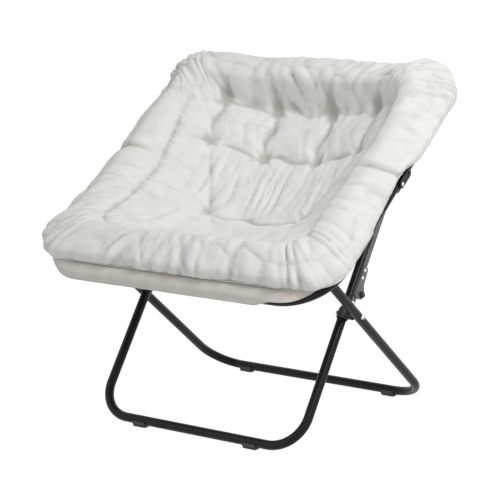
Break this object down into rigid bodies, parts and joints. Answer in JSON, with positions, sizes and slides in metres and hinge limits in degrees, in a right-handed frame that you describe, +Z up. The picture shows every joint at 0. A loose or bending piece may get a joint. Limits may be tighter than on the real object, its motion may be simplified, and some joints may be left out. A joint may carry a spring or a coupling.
{
  "type": "folding saucer chair",
  "caption": "Folding saucer chair: crossed U-shaped tube legs carry a square hinged ring that holds a bowl-shaped, plush padded seat.",
  "frame": {"origin": "centre of the footprint's box on the floor, chair unfolded", "axes": "+X to the sitter's left, +Y to the back of the chair, +Z up; the sitter faces -Y"},
  "size_m": [0.8282, 0.6975, 0.847],
  "materials": {
    "frame_paint": "smooth satin black powder coat",
    "bar_steel": "satin grey coat",
    "bright_steel": "bright zinc plate",
    "black_plastic": "moulded, matte",
    "dark_cap": "moulded cap, satin",
    "foot_plastic": "moulded, matte",
    "plush": "short-pile plush over loose fill",
    "cover_cloth": "plain woven cloth"
  },
  "bodies": {
    "inner_legs": {"inner_leg_tube": "frame_paint", "inner_foot_left": "foot_plastic", "inner_foot_right": "foot_plastic", "inner_leg_plug_left": "foot_plastic", "inner_leg_plug_right": "foot_plastic", "pivot_collar_left": "black_plastic", "pivot_collar_right": "black_plastic", "pivot_bolt_left": "bright_steel", "pivot_bolt_right": "bright_steel", "back_pivot_bolt_left": "bright_steel", "back_pivot_bolt_right": "bright_steel", "side_bar_left": "bar_steel", "side_bar_right": "bar_steel", "stay_plate_left": "bar_steel", "stay_plate_right": "bar_steel", "bar_rivets_left": "bright_steel", "bar_rivets_right": "bright_steel", "stay_bolt_left": "dark_cap", "stay_bolt_right": "dark_cap"},
    "outer_legs": {"outer_leg_tube": "frame_paint", "outer_foot_left": "foot_plastic", "outer_foot_right": "foot_plastic", "outer_leg_plug_left": "foot_plastic", "outer_leg_plug_right": "foot_plastic", "front_pivot_bolt_left": "bright_steel", "front_pivot_bolt_right": "bright_steel"},
    "back_frame": {"back_hoop": "frame_paint", "back_bracket_left": "frame_paint", "back_bracket_right": "frame_paint", "hinge_fork_left": "frame_paint", "hinge_fork_right": "frame_paint", "hinge_pin_left": "bright_steel", "hinge_pin_right": "bright_steel", "back_cover": "cover_cloth", "back_sleeves": "cover_cloth", "back_cushion": "plush"},
    "seat_frame": {"front_hoop": "frame_paint", "front_bracket_left": "frame_paint", "front_bracket_right": "frame_paint", "hinge_tongue_left": "frame_paint", "hinge_tongue_right": "frame_paint", "seat_cover": "cover_cloth", "seat_sleeves": "cover_cloth", "seat_cushion": "plush"}
  },
  "joints": [
    {"name": "leg_fold", "type": "hinge", "parent": "inner_legs", "child": "outer_legs", "pos_m": [0, -0.0172, 0.288], "axis": [-1, 0, 0], "range_deg": [0, 70]},
    {"name": "back_fold", "type": "hinge", "parent": "inner_legs", "child": "back_frame", "pos_m": [0, 0.16083, 0.52947], "axis": [-1, 0, 0], "range_deg": [0, 79.8]},
    {"name": "ring_fold", "type": "hinge", "parent": "back_frame", "child": "seat_frame", "pos_m": [0, 0.02562, 0.5943], "axis": [1, 0, 0], "range_deg": [0, 86.1], "deforming": ["seat_cover", "back_cover", "seat_cushion", "back_cushion"]}
  ],
  "couplings": [
    {"joint": "back_fold", "follows": "leg_fold", "ratio": 1.1381},
    {"joint": "ring_fold", "follows": "leg_fold", "ratio": 1.2284}
  ]
}
